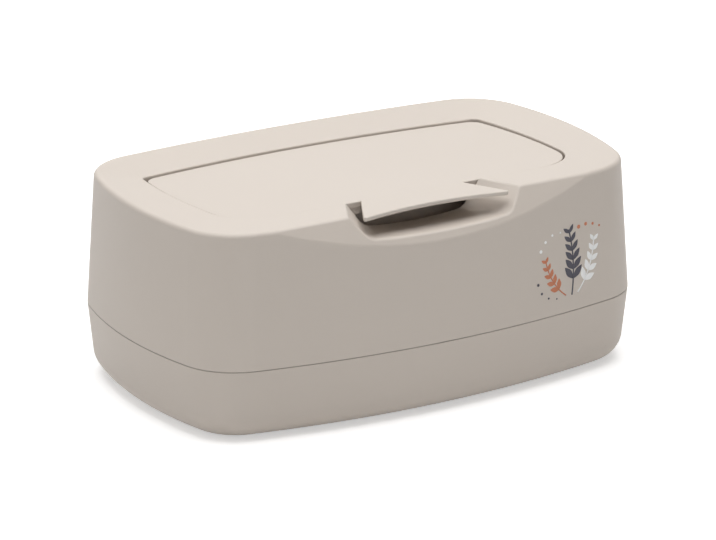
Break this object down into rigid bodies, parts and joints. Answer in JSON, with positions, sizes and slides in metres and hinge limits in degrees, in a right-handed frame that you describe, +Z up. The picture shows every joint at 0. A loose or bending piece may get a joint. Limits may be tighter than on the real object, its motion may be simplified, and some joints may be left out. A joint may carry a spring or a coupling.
{
  "type": "baby wipes box",
  "caption": "Rounded wipes box: lower tray, lift-off cover with a dished top, flip lid with a finger tab, and a weighted plate inside.",
  "frame": {"origin": "on the ground under the middle of the box, at the underside of the feet", "axes": "+Z up, +X along the box's length to the right as seen from the front, -Y towards the front with the finger tab"},
  "size_m": [0.24, 0.1526, 0.0957],
  "materials": {
    "tray_plastic": "matte, warm greige polypropylene",
    "cover_plastic": "matte, warm greige polypropylene",
    "lid_plastic": "matte, warm greige polypropylene",
    "plate_plastic": "matte, off-white polypropylene",
    "seal_rubber": "soft translucent elastomer",
    "foot_rubber": "soft rubber",
    "steel": "brushed stainless steel"
  },
  "bodies": {
    "tray": {"base_tray": "tray_plastic", "seam_seal": "seal_rubber", "foot_front_left": "foot_rubber", "foot_front_right": "foot_rubber", "foot_rear_left": "foot_rubber", "foot_rear_right": "foot_rubber"},
    "cover": {"cover_shell": "cover_plastic"},
    "lid": {"flip_lid": "lid_plastic", "lid_seal": "seal_rubber", "hinge_pin_left": "steel", "hinge_pin_right": "steel"},
    "plate": {"press_plate": "plate_plastic", "press_weight_left": "steel", "press_weight_right": "steel"}
  },
  "joints": [
    {"name": "cover_lift", "type": "slide", "parent": "tray", "child": "cover", "axis": [0, 0, 1], "range_m": [0, 0.06]},
    {"name": "lid_hinge", "type": "hinge", "parent": "cover", "child": "lid", "pos_m": [0, 0.037, 0.08852], "axis": [-1, 0, 0], "range_deg": [0, 92]},
    {"name": "press_plate_slide", "type": "slide", "parent": "tray", "child": "plate", "axis": [0, 0, 1], "range_m": [0, 0.055]}
  ]
}
